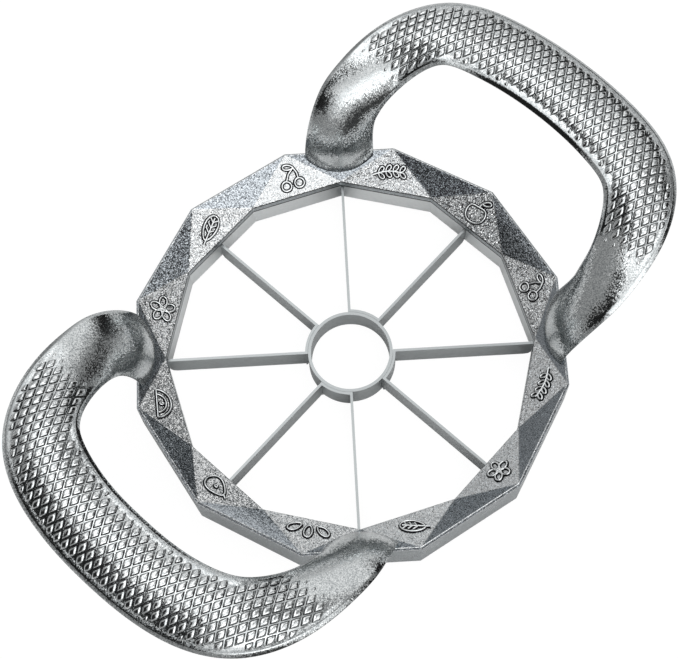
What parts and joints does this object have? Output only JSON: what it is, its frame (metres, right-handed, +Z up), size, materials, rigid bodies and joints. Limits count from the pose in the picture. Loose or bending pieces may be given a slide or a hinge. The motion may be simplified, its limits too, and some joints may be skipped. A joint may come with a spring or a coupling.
{
  "type": "apple slicer",
  "caption": "Rigid hand press that cores an apple and cuts it into wedges, with a faceted ring, thin radial blades and raised loop handles.",
  "frame": {"origin": "on the axis of the core tube, level with the cutting edges, which are the lowest points", "axes": "+X through the middle of the right handle's grip, +Z up out of the cut, along the core axis"},
  "size_m": [0.1816, 0.115, 0.0451],
  "materials": {
    "ring_casting": "satin, blasted facets on a plated zinc casting",
    "handle_chrome": "bright plated zinc casting",
    "blade_steel": "brushed stainless steel",
    "screw_steel": "stainless steel"
  },
  "bodies": {
    "root": {"frame_ring": "ring_casting", "blade_band": "blade_steel", "core_ring": "blade_steel", "blade_strip_1": "blade_steel", "blade_strip_2": "blade_steel", "blade_strip_3": "blade_steel", "blade_strip_4": "blade_steel", "right_handle": "handle_chrome", "left_handle": "handle_chrome", "handle_screws": "screw_steel"}
  },
  "joints": []
}
